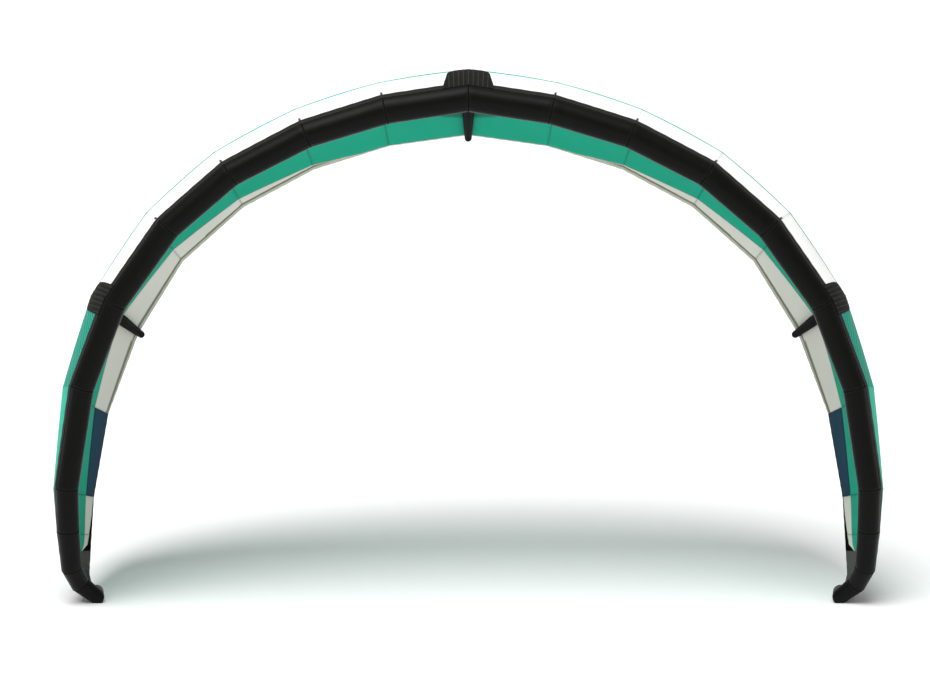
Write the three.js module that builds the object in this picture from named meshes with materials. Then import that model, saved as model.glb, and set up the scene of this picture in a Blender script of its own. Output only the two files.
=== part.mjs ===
// A kitesurfing kite with an inflated leading edge and three inflated struts, standing on its two wing tips.
// Millimetres, +Z up. The kite is laid out flat and level first: X along the span, Y from the leading edge
// back to the trailing edge, Z up, with the origin in the leading edge at the middle. It is then tipped nose
// up until its weight lies over its wing tips, and set on the floor.
import * as THREE from 'three';

// How the kite stands
const NOSE_UP_DEGREES = 16.5;

// Cloth and clearances
const CLOTH = 1.6;
const SEAM_GAP = 0.4;
const TUBE_GAP = 0.3;
const TIP_GAP = 1.2;
const STRUT_SEAT_GAP = 0.8;
const GORE_BILLOW = 12;
const FLANGE_WIDTH = 46;

// The cloth's line over a rib is a Bezier curve. These are its handles' places along the chord, as shares of
// it, and the weights of its end points and of its handles half way along.
const FRONT_HANDLE = 0.24;
const REAR_HANDLE = 0.5;
const END_WEIGHT = 1 / 8;
const HANDLE_WEIGHT = 3 / 8;

// Steps for the slope of the cloth, in stations and in shares of its length, and the least share between
// two rows
const STATION_STEP = 0.02;
const SHARE_STEP = 0.005;
const LEAST_ROW = 0.005;

// Inflated tubes
const TUBE_SIDES = 24;
const STRUT_SIDES = 16;
const CAP_RINGS = 4;
const CAP_OPENING = 0.4;
const STRUT_DROP = 42;
const STRUT_DROP_SHARE = 0.2;
const STRUT_END_SHARE = 0.995;
const STRUT_START_SHARE = 0.02;
const STRUT_START_STEP = 0.002;
const SLIDE_STEP = 0.25;
const PATCH_COLUMNS = [-1, -0.5, 0, 0.5, 1];
const FRONT_RING_SIZES = [0.25, 0.5, 0.75, 1];

// One row for each rib, from the middle out to the wing tip.
// x, sweep, height: the middle of the leading edge tube. tube: its diameter. seam: degrees in front of the
// tube's top at which the cloth is sewn on. backX, backY, backZ: the trailing edge. crest: how high the
// cloth rises over the line from tube to trailing edge.
const COLUMNS = ['x', 'sweep', 'height', 'tube', 'seam', 'backX', 'backY', 'backZ', 'crest'];
const RIB_ROWS = [
  [0, 0, 0, 160, 35, 0, 1720, 0, 226],
  [480, 10, -72, 162, 35, 484, 1722, -67, 226],
  [938, 40, -210, 156, 35, 941, 1728, -210, 222],
  [1378, 95, -432, 150, 35, 1370, 1735, -440, 218],
  [1742, 170, -738, 146, 35, 1740, 1735, -773, 211],
  [2057, 265, -1172, 138, 34, 2008, 1725, -1215, 203],
  [2249, 380, -1655, 136, 28, 2186, 1690, -1709, 161],
  [2345, 520, -2231, 134, 18, 2264, 1600, -2219, 112],
  [2343, 610, -2473, 130, 12, 2265, 1440, -2457, 84],
  [2329, 710, -2689, 118, 8, 2260, 1230, -2659, 64],
  [2283, 800, -2780, 108, 6, 2252, 1105, -2708, 57],
  [2192, 850, -2848, 90, 4, 2228, 985, -2777, 56],
];
const RIBS = RIB_ROWS.map((row) => Object.fromEntries(COLUMNS.map((name, k) => [name, row[k]])));
const TUBE_END = { x: 2203, sweep: 992, height: -2817, tube: 86 };
const LAST_RIB = RIBS.length - 1;
const TIP_SEGMENT_START = 8;
const SOLE_PRESS = 20;
const SOLE_RINGS = 5;

// Where panels end. Station 2.5 is half way from rib 2 to rib 3, and each row is [station, width].
// Front panels run from the flange to FRONT_WIDTHS behind it, and the rest is measured from the trailing
// edge: the bindings' widths, and the line on which the rear panels start.
const FRONT_WIDTHS = [[0, 285], [1, 302], [2, 296], [3, 284], [4, 265], [5, 255], [6, 200], [7, 130]];
const BAND_WIDTHS = [[0, 14], [1, 14], [2, 34], [5, 32], [6, 16]];
const TIP_BAND_WIDTHS = [[6, 8], [7, 11], [7.5, 20], [8, 42], [8.3, 53], [8.5, 126]];
const REAR_WIDTHS = [
  [1.39, 0], [1.4, 24], [2, 72], [3, 139], [4, 215], [5, 318], [5.5, 278], [6, 221], [7, 135], [8, 113],
  [8.3, 112], [8.5, 133],
];
const REAR_START = 1.4;
const TIP_START = 8.5;

// Patches over the front ends of the struts. Each row is the distance from the seam at the tube and how far
// the patch reaches to either side there.
const PATCHES = [
  { name: 'centre', rib: 0, outline: [[0, 146], [160, 124], [280, 114], [350, 97], [410, 66], [445, 30]] },
  { name: 'outer', rib: 5, outline: [[0, 98], [200, 90], [310, 80], [360, 62], [395, 40], [415, 16]] },
];
const PATCH_THICKNESS = 2;
const LEAST_PATCH_ROW = 4;
const PATCH_GAP = 0.9;

// Struts, each under the rib of the same number
const STRUTS = [
  { name: 'centre', rib: 0, front: 74, middle: 70, tail: 43 },
  { name: 'outer', rib: 5, front: 70, middle: 66, tail: 43 },
];

const cloth = (hex, roughness = 0.6) =>
  new THREE.MeshStandardMaterial({ color: hex, roughness, metalness: 0 });
const FINISH = {
  tube: cloth(0x1a1a18, 0.5),
  strut: cloth(0x1a1a18, 0.5),
  patch: cloth(0x343432, 0.7),
  flange: cloth(0x151513, 0.55),
  white: cloth(0xf4f4f2),
  teal: cloth(0x1da587),
  hatched: cloth(0x2fa089),
  bright: cloth(0x2cccab),
  cream: cloth(0xd5d5cc),
  navy: cloth(0x1f4255),
  black: cloth(0x141412, 0.65),
  khaki: cloth(0x8a8a75),
};

const { lerp } = THREE.MathUtils;
const radians = THREE.MathUtils.degToRad;
const vector = (x, y, z) => new THREE.Vector3(x, y, z);

// Leading edge: its middle line, the way it runs and the plane in which two lengths of tube meet
const centres = [...RIBS, TUBE_END].map((rib) => vector(rib.x, rib.sweep, rib.height));
const radii = [...RIBS, TUBE_END].map((rib) => rib.tube / 2);
const runs = centres.slice(1).map((point, k) => point.clone().sub(centres[k]).normalize());
const mirrored = (point) => vector(-point.x, point.y, point.z);
const miters = centres.map((_, k) => {
  if (k === 0) return vector(1, 0, 0);
  if (k === runs.length) return runs[k - 1].clone();
  return runs[k - 1].clone().add(runs[k]).normalize();
});

// Directions at a rib: back along the chord, and out through the cloth
const backs = RIBS.map((rib, k) => vector(rib.backX, rib.backY, rib.backZ).sub(centres[k]));
const outs = RIBS.map((_, k) => {
  const along = miters[Math.min(k, LAST_RIB - 1)];
  return new THREE.Vector3().crossVectors(along, backs[k]).normalize();
});

// A point moved along a length of tube on to the plane where the lengths meet at joint k
function ontoMiter(point, k, run) {
  const slide = centres[k].clone().sub(point).dot(miters[k]) / run.dot(miters[k]);
  return point.addScaledVector(run, slide);
}

// A point on the tube's skin at joint k, at an angle in front of its top, on the plane where lengths meet
function skinPoint(k, run, degrees, extra) {
  const out = outs[k].clone();
  out.addScaledVector(run, -out.dot(run)).normalize();
  const forward = new THREE.Vector3().crossVectors(run, out);
  const angle = radians(degrees);
  const point = centres[k].clone();
  point.addScaledVector(out, (radii[k] + extra) * Math.cos(angle));
  point.addScaledVector(forward, (radii[k] + extra) * Math.sin(angle));
  return ontoMiter(point, k, run);
}

// The cloth's line over one rib: it leaves the tube along its skin, rises to the crest and runs back
const profiles = RIBS.map((rib, k) => {
  const length = backs[k].length();
  const chord = backs[k].clone().normalize();
  const run = runs[Math.min(k, runs.length - 1)];
  const gap = k > TIP_SEGMENT_START ? TIP_GAP : TUBE_GAP;
  const start = skinPoint(k, run, rib.seam, gap + CLOTH / 2);
  const end = vector(rib.backX, rib.backY, rib.backZ);
  const reach = FRONT_HANDLE * length;
  const rise = start.clone().sub(centres[k]).dot(outs[k]);
  const leave = radians(rib.seam);
  const early = start.clone().addScaledVector(chord, reach * Math.cos(leave));
  early.addScaledVector(outs[k], reach * Math.sin(leave));
  const earlyRise = rise + reach * Math.sin(leave);
  const lateRise = (rib.crest - END_WEIGHT * rise - HANDLE_WEIGHT * earlyRise) / HANDLE_WEIGHT;
  const late = centres[k].clone().addScaledVector(chord, REAR_HANDLE * length);
  late.addScaledVector(outs[k], lateRise);
  return new THREE.CubicBezierCurve3(start, early, late, end);
});
const lengths = profiles.map((curve) => curve.getLength());

// A point of the cloth: station 2.5 is half way from rib 2 to rib 3, share 0 is the seam at the tube and 1
// the trailing edge. Stations below 0 are the other half of the kite.
function clothPoint(station, share) {
  if (station < 0) return mirrored(clothPoint(-station, share));
  const k = Math.min(Math.floor(station), LAST_RIB - 1);
  const between = station - k;
  const here = profiles[k].getPointAt(share);
  const next = profiles[k + 1].getPointAt(share);
  const point = here.lerp(next, between);
  const middle = 1 - Math.abs(2 * between - 1);
  const puff = GORE_BILLOW * middle * Math.sin(Math.PI * share);
  const size = Math.min(1, lengths[k] / lengths[0]) ** 3;
  return point.addScaledVector(outs[k], puff * size);
}

function clothNormal(station, share) {
  const ahead = clothPoint(Math.min(station + STATION_STEP, LAST_RIB), share);
  const behind = clothPoint(station - STATION_STEP, share);
  const here = clothPoint(station, share);
  const across = ahead.distanceTo(here) < 1e-6 ? here.clone().sub(behind).normalize()
    : ahead.sub(here).normalize().add(here.clone().sub(behind).normalize());
  const front = clothPoint(station, Math.max(share - SHARE_STEP, 0));
  const back = clothPoint(station, Math.min(share + SHARE_STEP, 1));
  return new THREE.Vector3().crossVectors(across, back.sub(front)).normalize();
}

const clothLength = (station) => {
  const k = Math.min(Math.floor(station), LAST_RIB - 1);
  return lerp(lengths[k], lengths[k + 1], station - k);
};

// The width that a table of [place, width] rows gives between its rows
function widthAt(table, place) {
  const next = table.findIndex(([at]) => at > place);
  if (next === 0) return table[0][1];
  if (next < 0) return table.at(-1)[1];
  const [from, width] = table[next - 1];
  const [to, nextWidth] = table[next];
  return lerp(width, nextWidth, (place - from) / (to - from));
}

// A closed mesh from rows of points, all rows with as many points: rows run one way, points the other. The
// second half of a row is the underside, split along the same diagonals as the top, so a twisted sheet keeps
// its thickness.
function closedMesh(rows, name, material, wrap) {
  const count = rows[0].length;
  const points = rows.flat();
  const faces = [];
  const quad = (a, b, c, d) => faces.push([a, b, c], [a, c, d]);
  const last = rows.length - 1;
  for (let r = 0; r < last; r += 1) {
    for (let c = 0; c < count; c += 1) {
      const [here, next] = [r * count + c, r * count + ((c + 1) % count)];
      const corners = [here, next, next + count, here + count];
      if (c < count / 2) corners.push(corners.shift());
      quad(...corners);
    }
  }
  wrap(faces, count, last, points);
  const geometry = new THREE.BufferGeometry();
  geometry.setAttribute('position', new THREE.Float32BufferAttribute(points.flatMap((p) => p.toArray()), 3));
  geometry.setIndex(facingOut(points, faces).flat());
  geometry.computeVertexNormals();
  const mesh = new THREE.Mesh(geometry, material);
  mesh.name = name;
  return mesh;
}

// Faces turned so that they point out of the solid
function facingOut(points, faces) {
  let volume = 0;
  for (const [a, b, c] of faces) {
    volume += points[a].dot(new THREE.Vector3().crossVectors(points[b], points[c]));
  }
  return volume > 0 ? faces : faces.map(([a, b, c]) => [a, c, b]);
}

// A sheet of cloth between two borders. Each row across the cloth is a loop round its thickness.
function clothSheet(name, material, stations, steps, startShare, endShare, lift = 0, thickness = CLOTH) {
  const rows = stations.map((station) => {
    const length = clothLength(station);
    const from = startShare(station) + SEAM_GAP / 2 / length;
    const to = endShare(station) - SEAM_GAP / 2 / length;
    const upper = [];
    const lower = [];
    for (let k = 0; k <= steps; k += 1) {
      const share = lerp(from, to, k / steps);
      const point = clothPoint(station, share);
      const normal = clothNormal(station, share);
      upper.push(point.clone().addScaledVector(normal, lift + thickness / 2));
      lower.push(point.clone().addScaledVector(normal, lift - thickness / 2));
    }
    return [...upper, ...lower.reverse()];
  });
  return closedMesh(rows, name, material, capSheet(steps));
}

// Closes the two ends of a sheet whose rows are loops round its thickness
function capSheet(steps) {
  return (faces, count, last) => {
    for (let k = 0; k < steps; k += 1) {
      const mate = count - 1 - k;
      faces.push([k, mate - 1, k + 1], [k, mate, mate - 1]);
      const first = last * count;
      faces.push([first + k, first + k + 1, first + mate - 1], [first + k, first + mate - 1, first + mate]);
    }
  };
}

// Rows at the ribs and half way between, drawn in by half a seam at both ends
function stationsBetween(from, to, extra = []) {
  const inset = (station, sign) => (
    station + (sign * SEAM_GAP) / 2 / goreWidth(station + sign * STATION_STEP));
  const stations = [from, to, ...extra];
  for (let k = Math.ceil(from * 2) / 2; k <= to; k += 0.5) stations.push(k);
  const sorted = [...new Set(stations)].sort((a, b) => a - b);
  sorted[0] = inset(from, 1);
  sorted[sorted.length - 1] = inset(to, -1);
  return sorted;
}
function goreWidth(station) {
  const k = Math.min(Math.floor(station), LAST_RIB - 1);
  return centres[k + 1].distanceTo(centres[k]);
}

// Borders of the panels, as shares of the cloth's length at a station
const seamLine = () => 0;
const trailingEdge = () => 1;
const flangeLine = (station) => FLANGE_WIDTH / clothLength(station);
const frontLine = (station) => (FLANGE_WIDTH + widthAt(FRONT_WIDTHS, station)) / clothLength(station);
const bandLine = (station) => 1 - widthAt(BAND_WIDTHS, station) / clothLength(station);
const tipBandLine = (station) => 1 - widthAt(TIP_BAND_WIDTHS, station) / clothLength(station);
const rearLine = (station) => {
  const band = widthAt(station > 6 ? TIP_BAND_WIDTHS : BAND_WIDTHS, station);
  return 1 - Math.max(widthAt(REAR_WIDTHS, station), band) / clothLength(station);
};

// Rows of points from the front of the cloth to the back, so many for each panel
const FRONT_ROWS = 5;
const CANOPY_ROWS = 8;
const REAR_ROWS = 3;
function rowShares(station) {
  const borders = [flangeLine, frontLine, rearLine, bandLine].map((line) => line(station));
  const rows = [FRONT_ROWS, CANOPY_ROWS, REAR_ROWS];
  const shares = rows.flatMap((count, k) => (
    Array.from({ length: count }, (_, row) => lerp(borders[k], borders[k + 1], row / count))));
  return [...shares, bandLine(station)].filter((share, k, all) => k === 0 || share > all[k - 1] + LEAST_ROW);
}

// A round tube through rings of points
function tube(name, material, rings) {
  return closedMesh(rings, name, material, (faces, count, last, points) => {
    const sumOf = (ring) => ring.reduce((sum, point) => sum.add(point), vector(0, 0, 0));
    const middle = (ring) => sumOf(ring).divideScalar(count);
    const [start, end] = [points.length, points.length + 1];
    points.push(middle(rings[0]), middle(rings[last]));
    for (let k = 0; k < count; k += 1) {
      const next = (k + 1) % count;
      faces.push([start, next, k], [end, last * count + k, last * count + next]);
    }
  });
}

function tubeRing(k, run, along) {
  return Array.from({ length: TUBE_SIDES }, (_, side) => {
    const point = skinPoint(k, run, (360 * side) / TUBE_SIDES, 0);
    return point.addScaledVector(run, along);
  });
}

function leadingEdgeSegment(k) {
  const rings = [tubeRing(k, runs[k], SEAM_GAP / 2), tubeRing(k + 1, runs[k], -SEAM_GAP / 2)];
  return tube(`leading_edge_${k + 1}`, FINISH.tube, rings);
}

// The ring at joint k that carries on straight from the ring before it
function nextRing(before, k) {
  const run = runs[k - 1];
  return before.map((point) => {
    const off = point.clone().sub(centres[k - 1]);
    off.addScaledVector(run, -off.dot(run)).setLength(radii[k]);
    return ontoMiter(off.add(centres[k]), k, run);
  });
}

// How far round a cap each of its rings lies. The last one leaves a small opening, which the end closes.
const capAngle = (ring) => (Math.PI / 2) * (ring / (CAP_RINGS + CAP_OPENING));

// The last length of tube bends in to the wing tip and ends in a round cap, flat underneath to stand on
function leadingEdgeTip() {
  const first = TIP_SEGMENT_START;
  const rings = [tubeRing(first, runs[first], SEAM_GAP / 2)];
  for (let k = first + 1; k < centres.length; k += 1) {
    const before = rings.at(-1);
    const ring = nextRing(before, k);
    const parts = k < LAST_RIB ? 1 : SOLE_RINGS;
    for (let part = 1; part < parts; part += 1) {
      rings.push(before.map((point, side) => point.clone().lerp(ring[side], part / parts)));
    }
    rings.push(ring);
  }
  const end = centres.length - 1;
  const base = rings.at(-1).map((point) => point.clone());
  for (let ring = 1; ring <= CAP_RINGS; ring += 1) {
    const angle = capAngle(ring);
    rings.push(base.map((point) => {
      const radial = point.clone().sub(centres[end]).multiplyScalar(Math.cos(angle));
      return centres[end].clone().add(radial).addScaledVector(runs[end - 1], radii[end] * Math.sin(angle));
    }));
  }
  return tube(`leading_edge_${first + 1}`, FINISH.tube, rings);
}

// A strut runs along the underside of the cloth from the leading edge to just past the trailing edge
function strut({ name, rib, front, middle, tail }) {
  const diameterAt = (share) => (share < 0.5
    ? lerp(front, middle, share / 0.5) : lerp(middle, tail, (share - 0.5) / 0.5));
  const clearance = STRUT_SEAT_GAP + CLOTH / 2;
  const bend = (runs[rib - 1] ?? mirrored(runs[0]).negate()).angleTo(runs[rib]);
  // Near the leading edge the strut drops away from the cloth, to meet the tube square on
  const axisAt = (share) => {
    const drop = STRUT_DROP * Math.max(0, 1 - share / STRUT_DROP_SHARE) ** 2;
    const below = (diameterAt(share) / 2 + clearance) / Math.cos(bend / 2) + drop;
    return clothPoint(rib, share).addScaledVector(clothNormal(rib, share), -below);
  };
  const across = miters[rib].clone();
  const ringAt = (share) => {
    const run = axisAt(Math.min(share + SHARE_STEP, 1)).sub(axisAt(share - SHARE_STEP)).normalize();
    return { run, points: strutRing(axisAt(share), run, across, diameterAt(share) / 2) };
  };
  let firstShare = STRUT_START_SHARE;
  while (skinDistance(axisAt(firstShare), rib) < diameterAt(firstShare) / 4) firstShare += STRUT_START_STEP;
  const rings = [];
  const behind = firstShare + STRUT_START_SHARE;
  const shares = rowShares(rib).filter((share) => share > behind && share < STRUT_END_SHARE);
  for (const share of [firstShare, ...shares, STRUT_END_SHARE]) rings.push(ringAt(share).points);
  // The front end is hollowed to the round of the tube, in rings that shrink towards the strut's middle line
  const { run: forward } = ringAt(firstShare);
  const frontRings = FRONT_RING_SIZES.map((size) => {
    const ring = strutRing(axisAt(firstShare), forward, across, (size * diameterAt(firstShare)) / 2);
    return ring.map((point) => backToTube(point, forward.clone().negate(), rib));
  });
  rings.splice(0, 1, ...frontRings);
  const axis = axisAt(STRUT_END_SHARE);
  const run = axis.clone().sub(axisAt(STRUT_END_SHARE - SHARE_STEP)).normalize();
  for (let ring = 1; ring <= CAP_RINGS; ring += 1) {
    const angle = capAngle(ring);
    const centre = axis.clone().addScaledVector(run, (tail / 2) * Math.sin(angle));
    rings.push(strutRing(centre, run, across, (tail / 2) * Math.cos(angle)));
  }
  return tube(`${name}_strut`, FINISH.strut, rings);
}

function strutRing(centre, run, across, radius) {
  const side = across.clone().addScaledVector(run, -across.dot(run)).normalize();
  const up = new THREE.Vector3().crossVectors(run, side).normalize();
  return Array.from({ length: STRUT_SIDES }, (_, k) => {
    const angle = (2 * Math.PI * k) / STRUT_SIDES;
    return centre.clone().addScaledVector(side, radius * Math.cos(angle))
      .addScaledVector(up, radius * Math.sin(angle));
  });
}

// How far a point near rib k lies outside the skin of the leading edge
function skinDistance(point, k) {
  const off = point.clone().sub(centres[k]);
  const along = off.dot(miters[k]);
  const run = along >= 0 ? runs[k] : (runs[k - 1] ?? mirrored(runs[0]).negate());
  return off.addScaledVector(run, -off.dot(run)).length() - radii[k];
}

// Slides a point of the strut's front edge forward until it meets the leading edge
function backToTube(point, way, k) {
  const reach = 2 * radii[k];
  const moved = point.clone();
  const close = STRUT_SEAT_GAP + SLIDE_STEP;
  for (let gone = 0; gone < reach && skinDistance(moved, k) > close; gone += SLIDE_STEP) {
    moved.addScaledVector(way, SLIDE_STEP);
  }
  return moved;
}

const half = new THREE.Group();
for (let k = 0; k < TIP_SEGMENT_START; k += 1) half.add(leadingEdgeSegment(k));
half.add(leadingEdgeTip());
const toTip = [7.5, 8.3];
const panels = [
  ['flange', FINISH.flange, stationsBetween(0, TIP_START, [8.3]), 2, seamLine, flangeLine],
  ['front_white', FINISH.white, stationsBetween(0, 5), FRONT_ROWS, flangeLine, frontLine],
  ['front_hatched', FINISH.hatched, stationsBetween(5, 6), FRONT_ROWS, flangeLine, frontLine],
  ['front_bright', FINISH.bright, stationsBetween(6, 7), FRONT_ROWS, flangeLine, frontLine],
  ['canopy_8', FINISH.teal, stationsBetween(7, TIP_START, toTip), CANOPY_ROWS, flangeLine, rearLine],
  ['rear_cream', FINISH.cream, stationsBetween(REAR_START, 6), REAR_ROWS, rearLine, bandLine],
  ['rear_navy', FINISH.navy, stationsBetween(6, 7), REAR_ROWS, rearLine, tipBandLine],
  ['rear_tip', FINISH.cream, stationsBetween(7, TIP_START, toTip), REAR_ROWS, rearLine, tipBandLine],
  ['band', FINISH.khaki, stationsBetween(0, 6), 1, bandLine, trailingEdge],
  ['band_tip', FINISH.black, stationsBetween(6, TIP_START, toTip), 1, tipBandLine, trailingEdge],
  ['tip', FINISH.black, stationsBetween(TIP_START, LAST_RIB), CANOPY_ROWS, seamLine, trailingEdge],
];
for (let k = 0; k < 7; k += 1) {
  const stations = stationsBetween(k, k + 1, k === 1 ? [1.39, REAR_START] : []);
  panels.push([`canopy_${k + 1}`, FINISH.teal, stations, CANOPY_ROWS, frontLine, rearLine]);
}
for (const panel of panels) half.add(clothSheet(...panel));

// A patch lies on top of the cloth over a rib. Its rows follow the cloth's own rows.
function patch({ name, rib, outline }) {
  const length = clothLength(rib);
  const last = outline.at(-1)[0];
  const clothRows = [0, FLANGE_WIDTH / 2, ...rowShares(rib).map((share) => share * length)];
  const distances = [...clothRows, ...outline.map(([distance]) => distance)]
    .filter((distance) => distance <= last)
    .sort((a, b) => a - b)
    .filter((distance, k, all) => k === 0 || distance > all[k - 1] + LEAST_PATCH_ROW);
  const lift = CLOTH / 2 + PATCH_GAP + PATCH_THICKNESS / 2;
  const rows = distances.map((distance) => {
    const reach = widthAt(outline, distance);
    const upper = [];
    const lower = [];
    for (const side of PATCH_COLUMNS) {
      const station = rib + (side * reach) / goreWidth(rib + 0.5 * Math.sign(side) * Math.sign(rib || side));
      const share = distance / length;
      const point = clothPoint(station, share);
      const normal = clothNormal(station, share);
      upper.push(point.clone().addScaledVector(normal, lift + PATCH_THICKNESS / 2));
      lower.push(point.clone().addScaledVector(normal, lift - PATCH_THICKNESS / 2));
    }
    return [...upper, ...lower.reverse()];
  });
  return closedMesh(rows, `${name}_patch`, FINISH.patch, capSheet(PATCH_COLUMNS.length - 1));
}

// Both halves
const kite = new THREE.Group();
function mirroredMesh(mesh) {
  const geometry = mesh.geometry.clone();
  geometry.scale(-1, 1, 1);
  const index = geometry.getIndex();
  for (let k = 0; k < index.count; k += 3) {
    const second = index.getX(k + 1);
    index.setX(k + 1, index.getX(k + 2));
    index.setX(k + 2, second);
  }
  geometry.computeVertexNormals();
  return new THREE.Mesh(geometry, mesh.material);
}
for (const mesh of [...half.children, strut(STRUTS[1]), patch(PATCHES[1])]) {
  const other = mirroredMesh(mesh);
  other.name = `left_${mesh.name}`;
  mesh.name = `right_${mesh.name}`;
  kite.add(mesh, other);
}
kite.add(strut(STRUTS[0]), patch(PATCHES[0]));

// What would lie under the floor is pressed flat on to it
function flattenBelow(geometry) {
  const points = geometry.getAttribute('position');
  for (let k = 0; k < points.count; k += 1) points.setZ(k, Math.max(points.getZ(k), 0));
  geometry.computeVertexNormals();
}

// Nose up, then down on to the floor with a flat spot under each wing tip
const turn = new THREE.Matrix4().makeRotationX(-radians(NOSE_UP_DEGREES));
const standing = new THREE.Group();
const box = new THREE.Box3();
for (const mesh of [...kite.children]) {
  mesh.geometry.applyMatrix4(turn);
  mesh.geometry.computeBoundingBox();
  box.union(mesh.geometry.boundingBox);
}
const floor = box.min.z + SOLE_PRESS;
for (const mesh of [...kite.children]) {
  mesh.geometry.translate(0, -(box.min.y + box.max.y) / 2, -floor);
  flattenBelow(mesh.geometry);
  standing.add(mesh);
}

export default standing;
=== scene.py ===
"""A kitesurfing kite with an inflated leading edge and three inflated struts, standing on its two wing tips.

The cloth and the tubes are worked out level first, with X along the span, Y from the leading edge back and Z
up, and are then tipped nose up on to the floor, as the solids are. All sizes in the tables are millimetres.
"""

import logging
import math
from dataclasses import dataclass
from enum import Enum
from typing import Callable, Sequence

import bmesh
import bpy
import numpy as np
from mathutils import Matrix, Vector

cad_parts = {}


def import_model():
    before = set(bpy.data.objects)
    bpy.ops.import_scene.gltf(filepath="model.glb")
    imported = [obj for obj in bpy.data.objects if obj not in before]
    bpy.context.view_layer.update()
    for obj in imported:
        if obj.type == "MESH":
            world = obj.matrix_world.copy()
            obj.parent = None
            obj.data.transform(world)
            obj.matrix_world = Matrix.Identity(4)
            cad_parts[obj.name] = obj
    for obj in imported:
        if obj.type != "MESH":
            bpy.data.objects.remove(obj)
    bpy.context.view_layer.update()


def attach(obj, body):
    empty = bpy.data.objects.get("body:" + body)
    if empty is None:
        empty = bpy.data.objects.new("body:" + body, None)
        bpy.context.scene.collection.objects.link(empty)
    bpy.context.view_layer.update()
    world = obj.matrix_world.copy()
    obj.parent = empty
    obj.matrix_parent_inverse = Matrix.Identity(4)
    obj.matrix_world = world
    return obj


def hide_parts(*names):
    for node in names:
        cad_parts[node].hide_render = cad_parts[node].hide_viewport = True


LOG = logging.getLogger("kite")
MM = 0.001

# One row for each rib from the middle out: x, sweep and height of the leading edge tube's middle, its
# diameter, the degrees in front of its top at which the cloth is sewn on, the trailing edge's x, y and z,
# and how high the cloth rises over the line between the two.
RIB_ROWS = [
    [0, 0, 0, 160, 35, 0, 1720, 0, 226],
    [480, 10, -72, 162, 35, 484, 1722, -67, 226],
    [938, 40, -210, 156, 35, 941, 1728, -210, 222],
    [1378, 95, -432, 150, 35, 1370, 1735, -440, 218],
    [1742, 170, -738, 146, 35, 1740, 1735, -773, 211],
    [2057, 265, -1172, 138, 34, 2008, 1725, -1215, 203],
    [2249, 380, -1655, 136, 28, 2186, 1690, -1709, 161],
    [2345, 520, -2231, 134, 18, 2264, 1600, -2219, 112],
    [2343, 610, -2473, 130, 12, 2265, 1440, -2457, 84],
    [2329, 710, -2689, 118, 8, 2260, 1230, -2659, 64],
    [2283, 800, -2780, 108, 6, 2252, 1105, -2708, 57],
    [2192, 850, -2848, 90, 4, 2228, 985, -2777, 56],
]
TUBE_END = [2203, 992, -2817, 86]
LAST_RIB = len(RIB_ROWS) - 1
TIP_TUBE = 8  # the joint at which the last length of tube starts
TIP_START = 8.5
NOSE_UP = math.radians(16.5)
LEADING_EDGE_AT = (0.0, -0.72401, 3.00532)

# Where panels end, as [station, width]: station 2.5 is half way from rib 2 to rib 3.
FLANGE_WIDTH = 46
FRONT_WIDTHS = [[0, 285], [1, 302], [2, 296], [3, 284], [4, 265], [5, 255], [6, 200], [7, 130]]
BAND_WIDTHS = [[0, 14], [1, 14], [2, 34], [5, 32], [6, 16]]
TIP_BAND = 6  # the rib at which the khaki binding gives way to the wing tip's band
TIP_BAND_WIDTHS = [[6, 8], [7, 11], [7.5, 20], [8, 42], [8.3, 53], [8.5, 126]]
REAR_WIDTHS = [
    [1.39, 0], [1.4, 24], [2, 72], [3, 139], [4, 215], [5, 318], [5.5, 278], [6, 221], [7, 135], [8, 113],
    [8.3, 112], [8.5, 133],
]
REAR_START = 1.4

# Shape of the cloth over a rib, a Bezier curve, and of the cloth between two ribs
FRONT_HANDLE = 0.24
REAR_HANDLE = 0.5
BEZIER_STEPS = 2000
CLOTH = 1.1 * MM
CLOTH_SEAT = 1.1 * MM
GORE_BILLOW = 12 * MM
LINE_SAMPLES = 240
STATION_STEP = 0.02
SHARE_STEP = 0.005

Array = np.ndarray
Line = Callable[[Array], Array]
Placing = Callable[[Array, Array], tuple[Array, Array, dict[str, Array]]]

# Meshes. Beside a seam the cloth is doubled, and its points lie closer together.
CELL = 15 * MM
SEAM_BAND = 11 * MM
SEAM_MARKS = np.array([0, 0.2, 1.0]) * SEAM_BAND
PAST_SEAM = 1.15 * SEAM_BAND
LIFTED = 1.02 * SEAM_BAND
NARROW = 5 * SEAM_BAND  # a panel that is narrower than this has narrower seams
TUBE_SIDES = 96
STRUT_SIDES = 48
RIB_PITCH = 27 * MM
TINY = 1e-12
TOUCHING = 0.01 * MM
NO_LENGTH = 0.001 * MM
NO_SEAM = 30 * MM  # far enough from any seam for it not to show


class Side(Enum):
    """The two halves of the kite, as the sign of X."""

    RIGHT = 1
    LEFT = -1

    @property
    def word(self) -> str:
        """The half's name in small letters."""
        return self.name.lower()


def linear(hex_colour: str) -> tuple[float, float, float, float]:
    """Turns an sRGB hex colour into the linear values that Blender's shaders take.

    Args:
        hex_colour: A colour such as "#1da587".

    Returns:
        Red, green, blue and alpha.
    """
    # The numbers are those of the sRGB standard
    channels = [int(hex_colour[k : k + 2], 16) / 255 for k in (1, 3, 5)]
    red, green, blue = (c / 12.92 if c <= 0.04045 else ((c + 0.055) / 1.055) ** 2.4 for c in channels)
    return red, green, blue, 1.0


def unit(vectors: Array) -> Array:
    """One or more vectors at length 1, and a zero vector as it is."""
    return vectors / np.maximum(np.linalg.norm(vectors, axis=-1, keepdims=True), TINY)


def table_line(table: Sequence[Sequence[float]]) -> Line:
    """The width in metres that a table of [station, millimetres] rows gives at any station."""
    stations, widths = np.array(table, float).T
    return lambda station: np.interp(station, stations, widths) * MM


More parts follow.
